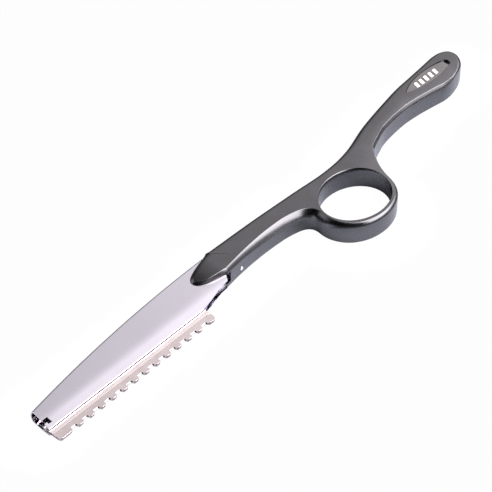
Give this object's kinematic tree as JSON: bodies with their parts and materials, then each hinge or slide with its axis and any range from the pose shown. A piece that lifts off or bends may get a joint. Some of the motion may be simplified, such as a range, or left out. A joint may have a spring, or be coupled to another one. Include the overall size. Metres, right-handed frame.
{
  "type": "guarded styling razor",
  "caption": "Hairdresser's razor: long handle with an oval finger ring and curved tail, folded sheet holder, and a comb-guarded blade that slides out of the holder's open end.",
  "frame": {"origin": "middle of the underside of the razor's bounding box, with the razor lying flat on its back face", "axes": "+X along the razor from the blade's open end towards the tail, +Y towards the spine, +Z through the thickness, up to the face with the badge"},
  "size_m": [0.2064, 0.0368, 0.0082],
  "materials": {
    "handle_satin": "gunmetal grey, satin",
    "badge_satin": "lighter gunmetal grey, satin",
    "badge_print": "warm white print, matte",
    "holder_chrome": "bright polished plate",
    "inner_steel": "plain rolled steel",
    "pin_steel": "bright ground steel",
    "guard_steel": "thin bright sheet, faintly warm",
    "blade_steel": "polished blade steel, ground edge"
  },
  "bodies": {
    "handle": {"handle_body": "handle_satin", "badge_plate": "badge_satin", "badge_mark_1": "badge_print", "badge_mark_2": "badge_print", "badge_mark_3": "badge_print", "badge_mark_4": "badge_print", "badge_mark_5": "badge_print", "blade_holder": "holder_chrome", "tang_bar": "inner_steel", "tang_rivet_1": "inner_steel", "tang_rivet_2": "inner_steel", "retaining_pin": "pin_steel"},
    "guard": {"guard_comb": "guard_steel"},
    "blade": {"razor_blade": "blade_steel"}
  },
  "joints": [
    {"name": "guard_slide", "type": "slide", "parent": "handle", "child": "guard", "axis": [-1, 0, 0], "range_m": [0, 0.06]},
    {"name": "blade_slide", "type": "slide", "parent": "handle", "child": "blade", "axis": [-1, 0, 0], "range_m": [0, 0.06]}
  ]
}
